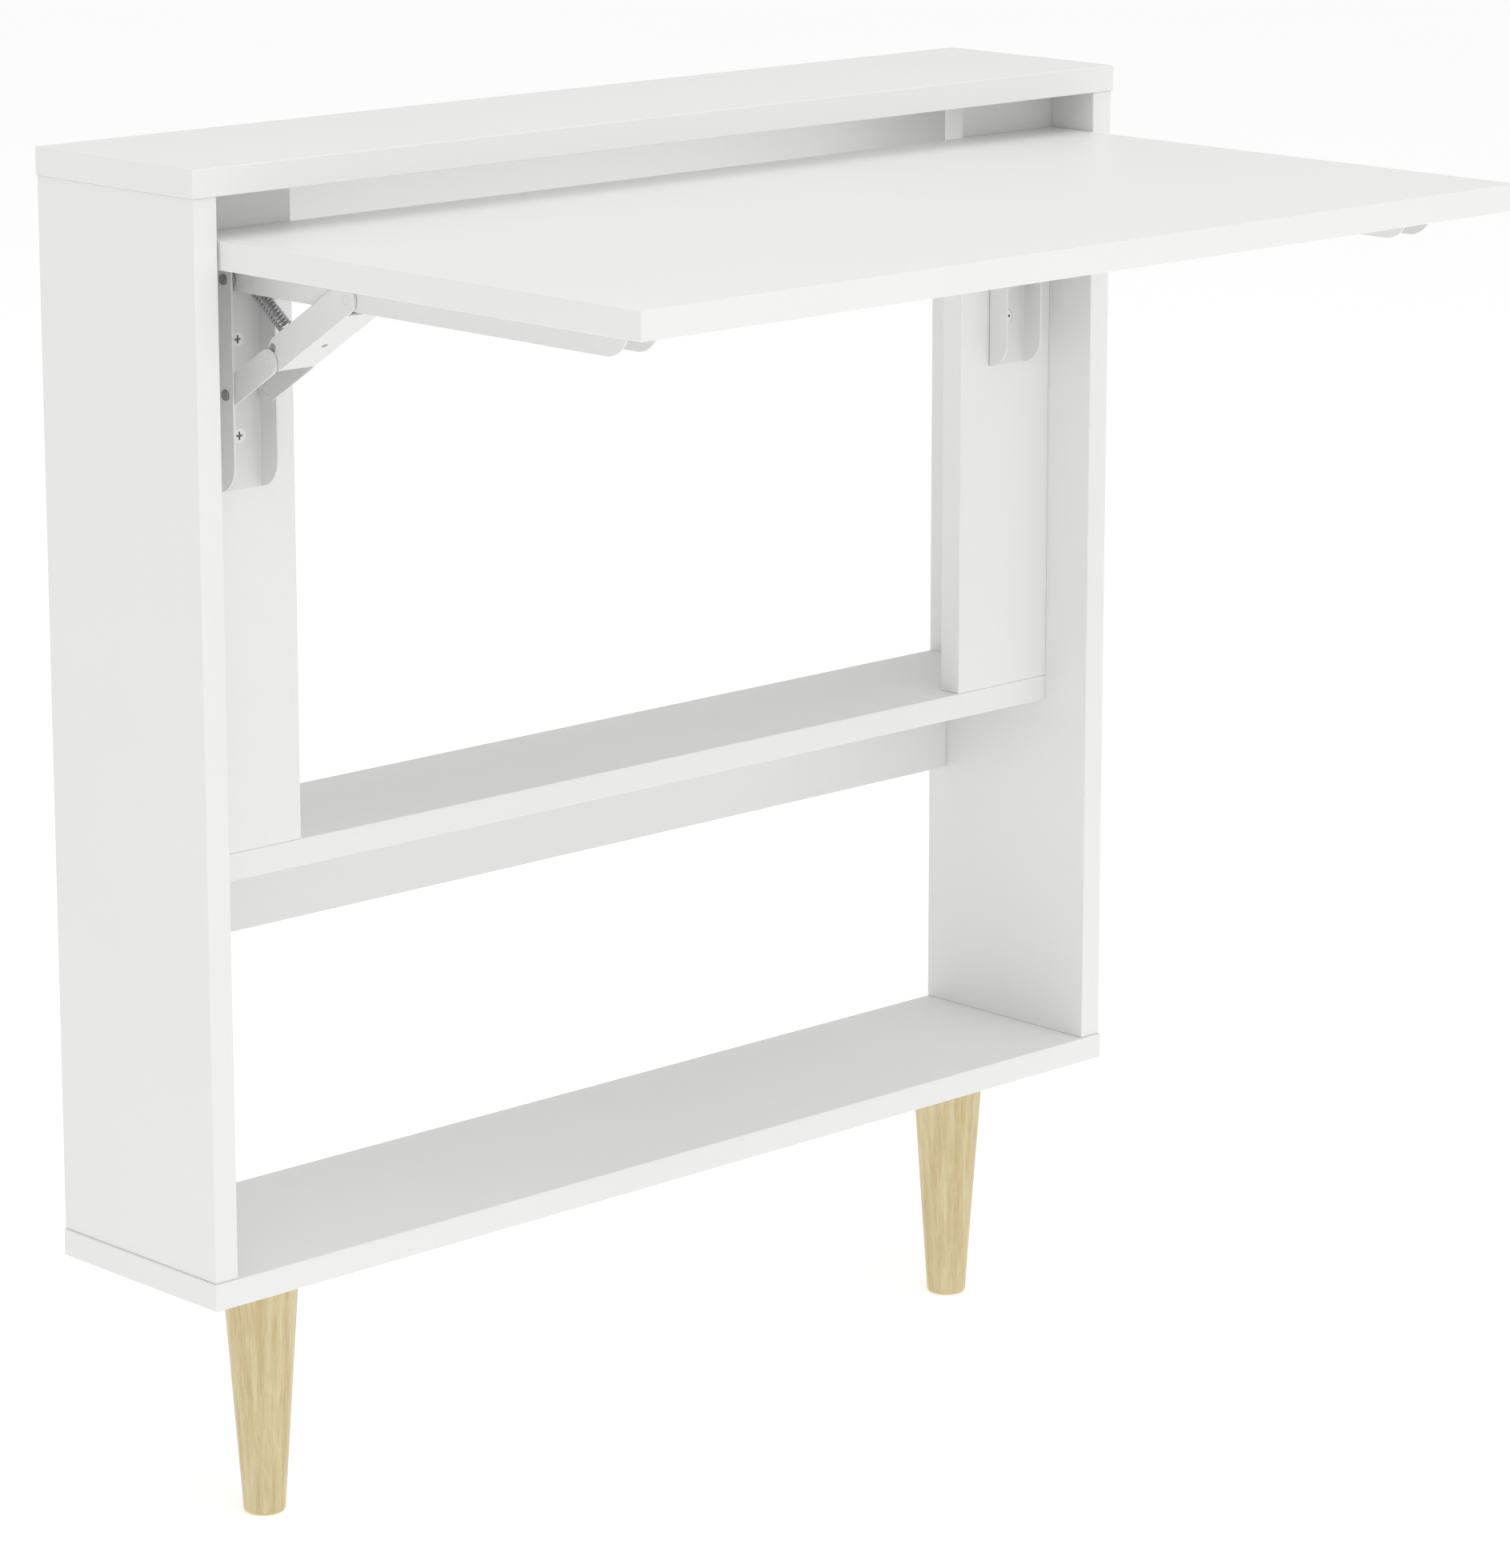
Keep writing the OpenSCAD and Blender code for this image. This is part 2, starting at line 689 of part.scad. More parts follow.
at_bracket(LEFT) link_pin();  // left_link_pin
at_bracket(LEFT) knee_rivets();  // left_knee_rivets
at_bracket(LEFT) knee_heads();  // left_knee_heads
at_bracket(LEFT) spring_rivets();  // left_spring_rivets
at_bracket(LEFT) spring();  // left_spring
at_bracket(RIGHT) wall_plate();  // right_wall_plate
at_bracket(RIGHT) arm();  // right_arm
at_bracket(RIGHT) upper_link();  // right_upper_link
at_bracket(RIGHT) link_straps();  // right_link_straps
at_bracket(RIGHT) hinge_pin();  // right_hinge_pin
at_bracket(RIGHT) hinge_washers();  // right_hinge_washers
at_bracket(RIGHT) strap_rivets();  // right_strap_rivets
at_bracket(RIGHT) link_pin();  // right_link_pin
at_bracket(RIGHT) knee_rivets();  // right_knee_rivets
at_bracket(RIGHT) knee_heads();  // right_knee_heads
at_bracket(RIGHT) spring_rivets();  // right_spring_rivets
at_bracket(RIGHT) spring();  // right_spring
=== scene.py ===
import json
import math

import bmesh
import bpy
from bpy.props import FloatProperty, FloatVectorProperty, IntProperty, PointerProperty
from mathutils import Matrix, Vector


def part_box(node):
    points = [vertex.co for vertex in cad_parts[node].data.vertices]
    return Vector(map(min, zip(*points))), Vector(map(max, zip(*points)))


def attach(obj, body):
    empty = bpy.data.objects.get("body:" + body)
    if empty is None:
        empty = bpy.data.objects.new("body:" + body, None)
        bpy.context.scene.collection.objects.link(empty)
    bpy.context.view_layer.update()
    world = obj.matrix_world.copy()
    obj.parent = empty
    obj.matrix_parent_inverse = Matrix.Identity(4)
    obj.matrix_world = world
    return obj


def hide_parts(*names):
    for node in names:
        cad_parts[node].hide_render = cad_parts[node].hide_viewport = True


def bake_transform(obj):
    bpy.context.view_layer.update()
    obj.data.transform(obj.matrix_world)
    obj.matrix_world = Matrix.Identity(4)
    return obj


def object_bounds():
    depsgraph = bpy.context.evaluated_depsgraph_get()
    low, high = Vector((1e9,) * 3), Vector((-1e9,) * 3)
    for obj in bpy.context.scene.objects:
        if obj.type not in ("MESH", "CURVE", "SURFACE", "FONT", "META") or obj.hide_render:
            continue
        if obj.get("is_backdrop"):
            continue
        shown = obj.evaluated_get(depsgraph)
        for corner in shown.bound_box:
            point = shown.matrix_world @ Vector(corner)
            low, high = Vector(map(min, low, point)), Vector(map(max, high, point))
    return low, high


bl_info = {
    "name": "Secretary desk",
    "version": (1, 0, 0),
    "blender": (4, 5, 0),
    "location": "View3D > Sidebar > Desk",
    "description": "Wall-fixed secretary desk with a drop-down writing flap on folding brackets",
    "category": "Object",
}

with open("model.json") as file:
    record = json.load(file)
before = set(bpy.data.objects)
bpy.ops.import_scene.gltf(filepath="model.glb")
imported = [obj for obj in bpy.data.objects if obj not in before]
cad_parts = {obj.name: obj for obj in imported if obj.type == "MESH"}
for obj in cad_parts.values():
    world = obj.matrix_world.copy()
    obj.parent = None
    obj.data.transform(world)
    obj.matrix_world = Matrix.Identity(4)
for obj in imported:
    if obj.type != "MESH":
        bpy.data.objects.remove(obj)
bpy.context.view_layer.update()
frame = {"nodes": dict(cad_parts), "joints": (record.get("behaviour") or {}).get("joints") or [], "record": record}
MM = 0.001
SIDES = ("left", "right")
# The turn between two faces past which their edge is rounded, and past which it is shaded sharp
ROUNDED_ABOVE = math.radians(30)
SHADED_SHARP_ABOVE = math.radians(35)

BOARDS = (
    "top_board", "bottom_board", "left_side_panel", "right_side_panel", "left_stile",
    "right_stile", "middle_shelf", "upper_back_rail", "lower_back_rail", "flap",
)
UPRIGHT_DOWELS = ("corner_dowels", "stile_dowels")
LEVEL_DOWELS = ("shelf_dowels", "rail_dowels")
LEG_FIXINGS = ("left_leg_plate", "right_leg_plate", "hanger_bolts", "leg_plate_screws")
# Sides that stand for the round section of a spring's wire
WIRE_SIDES = 10


def linear(hex_colour):
    """sRGB hex to linear RGBA"""
    channels = [int(hex_colour[i:i + 2], 16) / 255 for i in (0, 2, 4)]
    return [c / 12.92 if c <= 0.04045 else ((c + 0.055) / 1.055) ** 2.4 for c in channels] + [1.0]


# ---------- sizes and colours that a user would change ----------

class DeskBoardSettings(bpy.types.PropertyGroup):
    """Looks of the laminated boards"""
    edge_round: FloatProperty(
        name="Edge rounding", description="Rounding of the boards' long edges",
        default=0.6 * MM, unit="LENGTH")
    face_colour: FloatVectorProperty(
        name="Laminate", description="Colour of the melamine facing",
        default=linear("EFEFEE"), size=4, subtype="COLOR")
    face_shade: FloatVectorProperty(
        name="Laminate shade", description="Darker tone that drifts through the facing",
        default=linear("EBEBEA"), size=4, subtype="COLOR")
    band_colour: FloatVectorProperty(
        name="Edging", description="Colour of the edge banding",
        default=linear("EEEEED"), size=4, subtype="COLOR")
    pebble: FloatProperty(
        name="Facing pebble", description="Grain size pressed into the facing",
        default=1.2 * MM, unit="LENGTH")


class DeskBracketSettings(bpy.types.PropertyGroup):
    """Looks of the folding brackets"""
    sheet_round: FloatProperty(
        name="Sheet edge", description="Rounding of the pressed sheet's cut edges",
        default=0.22 * MM, unit="LENGTH")
    pin_round: FloatProperty(
        name="Pin edge", description="Rounding of pin and rivet heads",
        default=0.5 * MM, unit="LENGTH")
    paint_colour: FloatVectorProperty(
        name="Powder coat", description="Colour of the brackets",
        default=linear("E6E6E5"), size=4, subtype="COLOR")
    # Painted shade: the darker tone that the powder coat takes in the hollows of its orange peel
    painted_peel_shade: FloatVectorProperty(
        name="Powder coat shade", description="Tone in the hollows of the orange peel",
        default=linear("E0E0DF"), size=4, subtype="COLOR")
    coil_turns: IntProperty(
        name="Coils", description="Turns in each extension spring", default=14)
    wire_d: FloatProperty(
        name="Wire", description="Diameter of the spring's wire", default=1.4 * MM, unit="LENGTH")
    coil_d: FloatProperty(
        name="Coil", description="Outer diameter of the spring", default=8.8 * MM, unit="LENGTH")


class DeskLegSettings(bpy.types.PropertyGroup):
    """Sizes and looks of the turned legs"""
    foot_d: FloatProperty(
        name="Foot diameter", description="Diameter of a leg at the floor",
        default=24.8 * MM, unit="LENGTH")
    foot_round: FloatProperty(
        name="Foot rounding", description="Rounding of a leg's foot",
        default=2.5 * MM, unit="LENGTH")
    pale_colour: FloatVectorProperty(
        name="Early wood", description="Colour between the growth rings",
        default=linear("DDD0A6"), size=4, subtype="COLOR")
    dark_colour: FloatVectorProperty(
        name="Late wood", description="Colour of the growth rings",
        default=linear("C8B282"), size=4, subtype="COLOR")
    streak: FloatProperty(
        name="Streak width", description="Width of a growth ring where the leg is cut",
        default=4 * MM, unit="LENGTH")


class DeskStageSettings(bpy.types.PropertyGroup):
    """Camera, floor and lights"""
    camera_at: FloatVectorProperty(
        name="Camera", description="Place of the camera", default=(-2.2206, -2.5182, 0.4569),
        subtype="TRANSLATION", unit="LENGTH")
    camera_down: FloatProperty(
        name="Tilt", description="How far the camera looks down", default=0.2119,
        subtype="ANGLE")
    camera_right: FloatProperty(
        name="Turn", description="How far the camera turns from +Y towards +X", default=0.7634,
        subtype="ANGLE")
    camera_lens: FloatProperty(name="Lens", description="Focal length in mm", default=128.66)
    camera_shift: FloatProperty(
        name="Shift", description="Vertical lens shift, as a share of the frame", default=-0.1)
    floor_colour: FloatVectorProperty(
        name="Floor", description="Colour of the floor",
        default=linear("F6F6F6"), size=4, subtype="COLOR")


# ---------- small helpers ----------

def add_node(tree, kind, settings=None, inputs=None, links=None):
    """Adds a node, sets its properties and sockets, and links sockets of other nodes into it"""
    made = tree.nodes.new(kind)
    for name, value in (settings or {}).items():
        setattr(made, name, value)
    for socket, value in (inputs or {}).items():
        made.inputs[socket].default_value = value
    for socket, source in (links or {}).items():
        tree.links.new(source, made.inputs[socket])
    return made


def empty_material(name):
    """A material, its tree with nothing in it yet but coordinates, and their Object socket"""
    material = bpy.data.materials.new(name)
    material.use_nodes = True
    tree = material.node_tree
    tree.nodes.clear()
    return material, tree, add_node(tree, "ShaderNodeTexCoord").outputs["Object"]


# Sockets of a Mix node set to colours, by number
MIX_FACTOR, MIX_LOW, MIX_HIGH, MIX_RESULT = 0, 6, 7, 2
COLOURS = {"data_type": "RGBA"}


# ---------- materials ----------

def melamine_facing(name, colour, shade, pebble, roughness):
    """Melamine facing pressed against an engraved plate: an even satin with a fine pebble, whose
    tone drifts slowly over a long sheet"""
    drift = 150 * MM
    material, tree, place = empty_material(name)
    grain = add_node(tree, "ShaderNodeTexNoise", inputs={"Scale": 1 / pebble, "Detail": 3.0},
                     links={"Vector": place})
    cloud = add_node(tree, "ShaderNodeTexNoise", inputs={"Scale": 1 / drift, "Detail": 2.0},
                     links={"Vector": place})
    tone = add_node(tree, "ShaderNodeMix", COLOURS, {MIX_LOW: shade, MIX_HIGH: colour},
                    {MIX_FACTOR: cloud.outputs["Fac"]})
    gloss = add_node(tree, "ShaderNodeMapRange", inputs={
        "To Min": roughness - 0.05, "To Max": roughness + 0.07},
        links={"Value": grain.outputs["Fac"]})
    bump = add_node(tree, "ShaderNodeBump", inputs={"Strength": 0.35, "Distance": 0.02 * MM},
                    links={"Height": grain.outputs["Fac"]})
    shader = add_node(tree, "ShaderNodeBsdfPrincipled", inputs={"IOR": 1.5}, links={
        "Base Color": tone.outputs[MIX_RESULT], "Roughness": gloss.outputs["Result"],
        "Normal": bump.outputs["Normal"]})
    add_node(tree, "ShaderNodeOutputMaterial", links={"Surface": shader.outputs[0]})
    return material


def powder_coat(name, colour, shade):
    """Powder coat baked on steel: satin, with a fine orange peel, and painted shade, a darker tone, in the peel's
    hollows
    """
    peel_size = 0.8 * MM
    material, tree, place = empty_material(name)
    peel = add_node(tree, "ShaderNodeTexNoise", inputs={"Scale": 1 / peel_size, "Detail": 1.5},
                    links={"Vector": place})
    # Painted shade: where the peel's bump is low, in its hollows, the colour turns to the darker shade
    tone = add_node(tree, "ShaderNodeMix", COLOURS, {MIX_LOW: shade, MIX_HIGH: colour},
                    {MIX_FACTOR: peel.outputs["Fac"]})
    gloss = add_node(tree, "ShaderNodeMapRange", inputs={"To Min": 0.34, "To Max": 0.46},
                     links={"Value": peel.outputs["Fac"]})
    bump = add_node(tree, "ShaderNodeBump", inputs={"Strength": 0.4, "Distance": 0.03 * MM},
                    links={"Height": peel.outputs["Fac"]})
    shader = add_node(tree, "ShaderNodeBsdfPrincipled", inputs={
        "IOR": 1.5, "Coat Weight": 0.15, "Coat Roughness": 0.25}, links={
        "Base Color": tone.outputs[MIX_RESULT], "Roughness": gloss.outputs["Result"],
        "Normal": bump.outputs["Normal"]})
    add_node(tree, "ShaderNodeOutputMaterial", links={"Surface": shader.outputs[0]})
    return material


def plain_steel(name, low, high, roughness, grain):
    """Bare, plated or oiled steel with a fine mottle; grain is the size of a spot"""
    material, tree, place = empty_material(name)
    mottle = add_node(tree, "ShaderNodeTexNoise", inputs={"Scale": 1 / grain, "Detail": 4.0},
                      links={"Vector": place})
    tone = add_node(tree, "ShaderNodeMix", COLOURS, {MIX_LOW: linear(low), MIX_HIGH: linear(high)},
                    {MIX_FACTOR: mottle.outputs["Fac"]})
    gloss = add_node(tree, "ShaderNodeMapRange", inputs={
        "To Min": roughness - 0.08, "To Max": roughness + 0.1},
        links={"Value": mottle.outputs["Fac"]})
    bump = add_node(tree, "ShaderNodeBump", inputs={"Strength": 0.3, "Distance": 0.01 * MM},
                    links={"Height": mottle.outputs["Fac"]})
    shader = add_node(tree, "ShaderNodeBsdfPrincipled", inputs={"Metallic": 1.0}, links={
        "Base Color": tone.outputs[MIX_RESULT], "Roughness": gloss.outputs["Result"],
        "Normal": bump.outputs["Normal"]})
    add_node(tree, "ShaderNodeOutputMaterial", links={"Surface": shader.outputs[0]})
    return material


def zinc_plated_steel():
    """Bright zinc on bought fasteners and plates, made once and shared"""
    name = "zinc_plated_steel"
    return bpy.data.materials.get(name) or plain_steel(name, "A9ACB0", "C9CCD0", 0.32, 0.5 * MM)


def straight_grained_wood(name, pale, dark, streak, along):
    """Straight-grained wood with a clear satin finish: long streaks of growth ring with fine
    fibres and a few dark pores, all running one way"""
    fibre = 0.5 * MM
    line = streak / 5
    # The pattern is 1 / 0.015, or 67 times, as long along the grain as across it
    stretch = 0.985
    material, tree, place = empty_material(name)
    squeeze = Vector((1.0, 1.0, 1.0)) - Vector(along) * stretch
    stretched = add_node(tree, "ShaderNodeMapping", inputs={"Scale": squeeze},
                         links={"Vector": place}).outputs["Vector"]
    rings = add_node(tree, "ShaderNodeTexNoise", inputs={"Scale": 1 / streak, "Detail": 2.0},
                     links={"Vector": stretched})
    lines = add_node(tree, "ShaderNodeTexNoise", inputs={"Scale": 1 / line, "Detail": 3.0},
                     links={"Vector": stretched})
    fibres = add_node(tree, "ShaderNodeTexNoise", inputs={
        "Scale": 1 / fibre, "Detail": 4.0, "Roughness": 0.6}, links={"Vector": stretched})
    # Half of the tone comes from the rings, less from the lines and least from the fibres
    wide = add_node(tree, "ShaderNodeMath", {"operation": "MULTIPLY"}, {1: 0.5},
                    {0: rings.outputs["Fac"]})
    middling = add_node(tree, "ShaderNodeMath", {"operation": "MULTIPLY_ADD"}, {1: 0.3},
                        {0: lines.outputs["Fac"], 2: wide.outputs[0]})
    fine = add_node(tree, "ShaderNodeMath", {"operation": "MULTIPLY_ADD"}, {1: 0.2},
                    {0: fibres.outputs["Fac"], 2: middling.outputs[0]})
    level = add_node(tree, "ShaderNodeMapRange", inputs={"From Min": 0.38, "From Max": 0.62},
                     links={"Value": fine.outputs[0]})
    tone = add_node(tree, "ShaderNodeMix", COLOURS, {MIX_LOW: pale, MIX_HIGH: dark},
                    {MIX_FACTOR: level.outputs["Result"]})
    # Pores show where the lines peak
    pores = add_node(tree, "ShaderNodeMapRange", inputs={
        "From Min": 0.68, "From Max": 0.76, "To Max": 0.3}, links={"Value": lines.outputs["Fac"]})
    with_pores = add_node(tree, "ShaderNodeMix", COLOURS, {MIX_HIGH: linear("8C6E40")}, {
        MIX_FACTOR: pores.outputs["Result"], MIX_LOW: tone.outputs[MIX_RESULT]})
    gloss = add_node(tree, "ShaderNodeMapRange", inputs={"To Min": 0.42, "To Max": 0.58},
                     links={"Value": fibres.outputs["Fac"]})
    bump = add_node(tree, "ShaderNodeBump", inputs={"Strength": 0.35, "Distance": 0.05 * MM},
                    links={"Height": fibres.outputs["Fac"]})
    shader = add_node(tree, "ShaderNodeBsdfPrincipled", inputs={
        "IOR": 1.45, "Coat Weight": 0.15, "Coat Roughness": 0.3}, links={
        "Base Color": with_pores.outputs[MIX_RESULT], "Roughness": gloss.outputs["Result"],
        "Normal": bump.outputs["Normal"]})
    add_node(tree, "ShaderNodeOutputMaterial", links={"Surface": shader.outputs[0]})
    return material


def studio_floor(colour):
    """Smooth pale floor that glows a little, so that it stays close to white"""
    material, tree, place = empty_material("pale_studio_floor")
    cloud = add_node(tree, "ShaderNodeTexNoise", inputs={"Scale": 1.5}, links={"Vector": place})
    tone = add_node(tree, "ShaderNodeMix", COLOURS, {MIX_LOW: linear("F4F4F4"), MIX_HIGH: colour},
                    {MIX_FACTOR: cloud.outputs["Fac"]})
    shader = add_node(tree, "ShaderNodeBsdfPrincipled", inputs={
        "Roughness": 0.9, "Specular IOR Level": 0.1, "Emission Color": (1.0, 1.0, 1.0, 1.0),
        "Emission Strength": 0.36}, links={"Base Color": tone.outputs[MIX_RESULT]})
    add_node(tree, "ShaderNodeOutputMaterial", links={"Surface": shader.outputs[0]})
    return material


# ---------- meshes ----------

def merged_copy(node):
    """A CAD node's mesh with its loose triangles joined and its flat faces made whole"""
    flat_within = math.radians(0.5)
    bm = bmesh.new()
    bm.from_mesh(frame["nodes"][node].data)
    bmesh.ops.remove_doubles(bm, verts=bm.verts, dist=0.001 * MM)
    bmesh.ops.dissolve_limit(bm, angle_limit=flat_within, verts=bm.verts, edges=bm.edges,
                             use_dissolve_boundaries=False, delimit=set())
    return bm


def round_edges(bm, radius, longer_than=0.0, segments=2):
    """Rounds the sharp edges that are longer than a limit"""
    sharp = [e for e in bm.edges if e.is_manifold and e.calc_length() > longer_than
             and e.calc_face_angle(0.0) > ROUNDED_ABOVE]
    if not sharp:
        raise RuntimeError("a piece has no edges to round")
    bmesh.ops.bevel(bm, geom=sharp, offset=radius, offset_type="OFFSET", segments=segments,
                    profile=0.5, affect="EDGES", material=-1, clamp_overlap=True)


def new_piece(bm, name, material):
    """Makes an object at the origin from a bmesh, with its material and slot"""
    mesh = bpy.data.meshes.new(name)
    bm.to_mesh(mesh)
    bm.free()
    mesh.shade_smooth()
    mesh.set_sharp_from_angle(angle=SHADED_SHARP_ABOVE)
    mesh.materials.append(material)
    piece = bpy.data.objects.new(name, mesh)
    bpy.context.scene.collection.objects.link(piece)
    return piece


def stand_for(piece, node):
    """Lets a piece ride on its CAD node's body and stand for that node"""
    # Keeps the wide flat faces evenly lit beside their rounded edges
    weighted = piece.modifiers.new("face_weighted", "WEIGHTED_NORMAL")
    weighted.keep_sharp = True
    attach(piece, body_of(node))
    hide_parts(node)
    return piece


def paint_node(node, material):
    """Gives a CAD node its material"""
    mesh = frame["nodes"][node].data
    mesh.materials.clear()
    mesh.materials.append(material)


def body_of(node):
    """The body that a CAD node rides on"""
    bodies = frame["record"]["behaviour"]["bodies"]
    return next(body for body, members in bodies.items() if node in members)


def rounded_piece(node, material, radius, longer_than=0.0, segments=2):
    """A CAD node with its edges rounded, standing for that node"""
    bm = merged_copy(node)
    round_edges(bm, radius, longer_than, segments)
    return stand_for(new_piece(bm, node + "_finished", material), node)


def joint_place(name):
    """A point on a joint's axis"""
    return Vector(next(j["pos_m"] for j in frame["joints"] if j["name"] == name))


# ---------- operators ----------

class DESK_OT_boards(bpy.types.Operator):
    """Makes the laminated boards, with banded edges"""
    bl_idname = "desk.boards"
    bl_label = "Boards"

    def execute(self, context):
        settings = context.scene.desk_boards
        facing = melamine_facing("melamine_facing", settings.face_colour, settings.face_shade,
                                 settings.pebble, 0.38)
        # Extruded plastic band, smoother than the facing
        band = melamine_facing("abs_edge_band", settings.band_colour, settings.face_shade,
                               2 * settings.pebble, 0.32)
        # Edges of dowel and screw holes are shorter than this, and stay as drilled
        longest_hole_edge = 12 * MM
        for node in BOARDS:
            low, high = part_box(node)
            thin = min(range(3), key=lambda axis: (high - low)[axis])
            piece = rounded_piece(node, facing, settings.edge_round,
                                  longer_than=longest_hole_edge, segments=3)
            piece.data.materials.append(band)
            for face in piece.data.polygons:
                if abs(face.normal[thin]) < 0.5:
                    face.material_index = 1
        return {"FINISHED"}


class DESK_OT_dowels(bpy.types.Operator):
    """Gives the hidden dowels their wood"""
    bl_idname = "desk.dowels"
    bl_label = "Dowels"

    def execute(self, context):
        streak = context.scene.desk_legs.streak
        for along, nodes in (((0, 0, 1), UPRIGHT_DOWELS), ((1, 0, 0), LEVEL_DOWELS)):
            beech = straight_grained_wood("dowel_beech", linear("DFC49A"), linear("C79F6C"),
                                          streak, along)
            for node in nodes:
                paint_node(node, beech)
        return {"FINISHED"}


class DESK_OT_legs(bpy.types.Operator):
    """Turns the two legs and finishes their fixings"""
    bl_idname = "desk.legs"
    bl_label = "Legs"

    def execute(self, context):
        settings = context.scene.desk_legs
        for node in LEG_FIXINGS:
            paint_node(node, zinc_plated_steel())
        wood = straight_grained_wood("lacquered_light_wood", settings.pale_colour,
                                     settings.dark_colour, settings.streak, (0, 0, 1))
        for side in SIDES:
            node = side + "_leg"
            low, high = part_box(node)
            bm = self.turned_leg(low, high, settings)
            stand_for(new_piece(bm, node + "_finished", wood), node)
        return {"FINISHED"}

    def turned_leg(self, low, high, settings):
        """A tapered leg with a rounded foot, spun about its own axis"""
        middle = (low + high) / 2
        top_r = (high.x - low.x) / 2
        foot_r = settings.foot_d / 2
        foot_steps = 6
        steps_around = 96
        profile = [Vector((middle.x, middle.y, low.z))]
        for i in range(foot_steps + 1):
            turn = math.pi / 2 * i / foot_steps
            profile.append(Vector((
                middle.x + foot_r - settings.foot_round * (1 - math.sin(turn)), middle.y,
                low.z + settings.foot_round * (1 - math.cos(turn)))))
        profile.append(Vector((middle.x + top_r, middle.y, high.z)))
        profile.append(Vector((middle.x, middle.y, high.z)))
        bm = bmesh.new()
        points = [bm.verts.new(p) for p in profile]
        lines = [bm.edges.new(pair) for pair in zip(points, points[1:])]
        bmesh.ops.spin(bm, geom=points + lines, cent=middle, axis=(0, 0, 1), dvec=(0, 0, 0),
                       angle=2 * math.pi, steps=steps_around, use_merge=True)
        bmesh.ops.remove_doubles(bm, verts=bm.verts, dist=0.01 * MM)
        bmesh.ops.recalc_face_normals(bm, faces=bm.faces)
        return bm


class DESK_OT_brackets(bpy.types.Operator):
    """Finishes the pressed parts, pins, rivets and screws of both brackets"""
    bl_idname = "desk.brackets"
    bl_label = "Brackets"

    def execute(self, context):
        settings = context.scene.desk_brackets
        paint = powder_coat("powder_coated_steel", settings.paint_colour, settings.painted_peel_shade)
        zinc = zinc_plated_steel()
        # Phosphate leaves the pins a dull mid grey; the small rivets are bare and lighter
        pin_steel = plain_steel("phosphated_pin_steel", "8B8B8D", "A3A3A5", 0.42, 0.6 * MM)
        rivet_steel = plain_steel("dull_rivet_steel", "B9B9BA", "C9C9CA", 0.42, 0.6 * MM)
        for side in SIDES:
            for part in ("wall_plate", "arm", "upper_link", "link_straps", "link_pin",
                         "knee_rivets", "knee_heads"):
                rounded_piece(f"{side}_{part}", paint, settings.sheet_round)
            for part in ("hinge_pin", "strap_rivets"):
                pin = rounded_piece(f"{side}_{part}", pin_steel, settings.pin_round, segments=4)
                self.paint_inner_ends(pin, paint)
            rounded_piece(f"{side}_spring_rivets", rivet_steel, settings.sheet_round)
            paint_node(side + "_hinge_washers", zinc)
        paint_node("arm_screws", zinc)
        self.plate_screws(settings)
        return {"FINISHED"}

    def paint_inner_ends(self, pin, paint):
        """Paints the faces that look at the piece's middle, so that its outer heads stay bare"""
        xs = [corner[0] for corner in pin.bound_box]
        middle = (min(xs) + max(xs)) / 2
        pin.data.materials.append(paint)
        for face in pin.data.polygons:
            if face.normal.x * (face.center.x - middle) < 0:
                face.material_index = 1

    def plate_screws(self, settings):
        """Lacquered screw heads, with painted shade down in the driver's cross: dark steel on the recess faces"""
        cross_reach = 2.2 * MM
        rim_depth = 0.25 * MM
        cross_depth = 2.4 * MM
        lacquer = powder_coat("white_lacquered_screw", linear("F4F4F3"), linear("EFEFEE"))
        piece = rounded_piece("plate_screws", lacquer, settings.sheet_round)
        # Painted shade: a dark steel on the faces down in the driver's cross stands for the shade in the recess
        piece.data.materials.append(plain_steel("recess_painted_shade_steel", "8A8A8C", "9C9C9E", 0.5,
                                                0.4 * MM))
        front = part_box("plate_screws")[0].y
        low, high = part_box("right_wall_plate")
        bracket_x = (low.x + high.x) / 2
        for face in piece.data.polygons:
            in_cross = abs(abs(face.center.x) - bracket_x) < cross_reach
            if in_cross and rim_depth < face.center.y - front < cross_depth:
                face.material_index = 1


